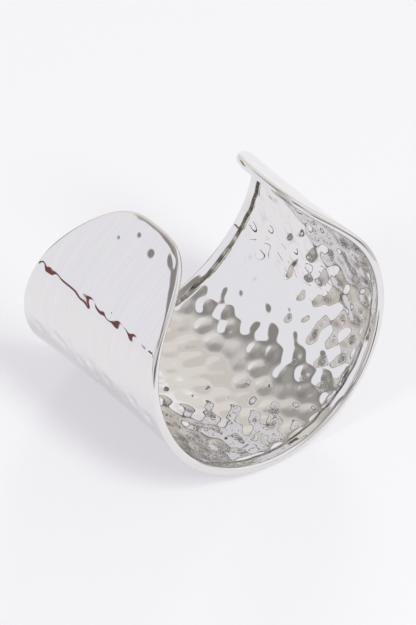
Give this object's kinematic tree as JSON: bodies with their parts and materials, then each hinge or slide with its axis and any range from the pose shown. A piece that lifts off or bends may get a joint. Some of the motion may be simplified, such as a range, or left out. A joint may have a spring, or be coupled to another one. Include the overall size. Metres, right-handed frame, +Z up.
{
  "type": "cuff bracelet",
  "caption": "Wide open cuff bracelet of hammered polished metal with rounded lobed ends and a plain raised border round its inner face.",
  "frame": {"origin": "on the surface it lies on, under the middle of the closed back", "axes": "+Z up, out through the opening between the ends; Y along the arm; X from one end to the other across the opening"},
  "size_m": [0.0676, 0.0592, 0.0574],
  "materials": {
    "polished_metal": "hammered and mirror polished, with fine hairlines round the outside"
  },
  "bodies": {
    "root": {"cuff_band": "polished_metal"}
  },
  "joints": []
}
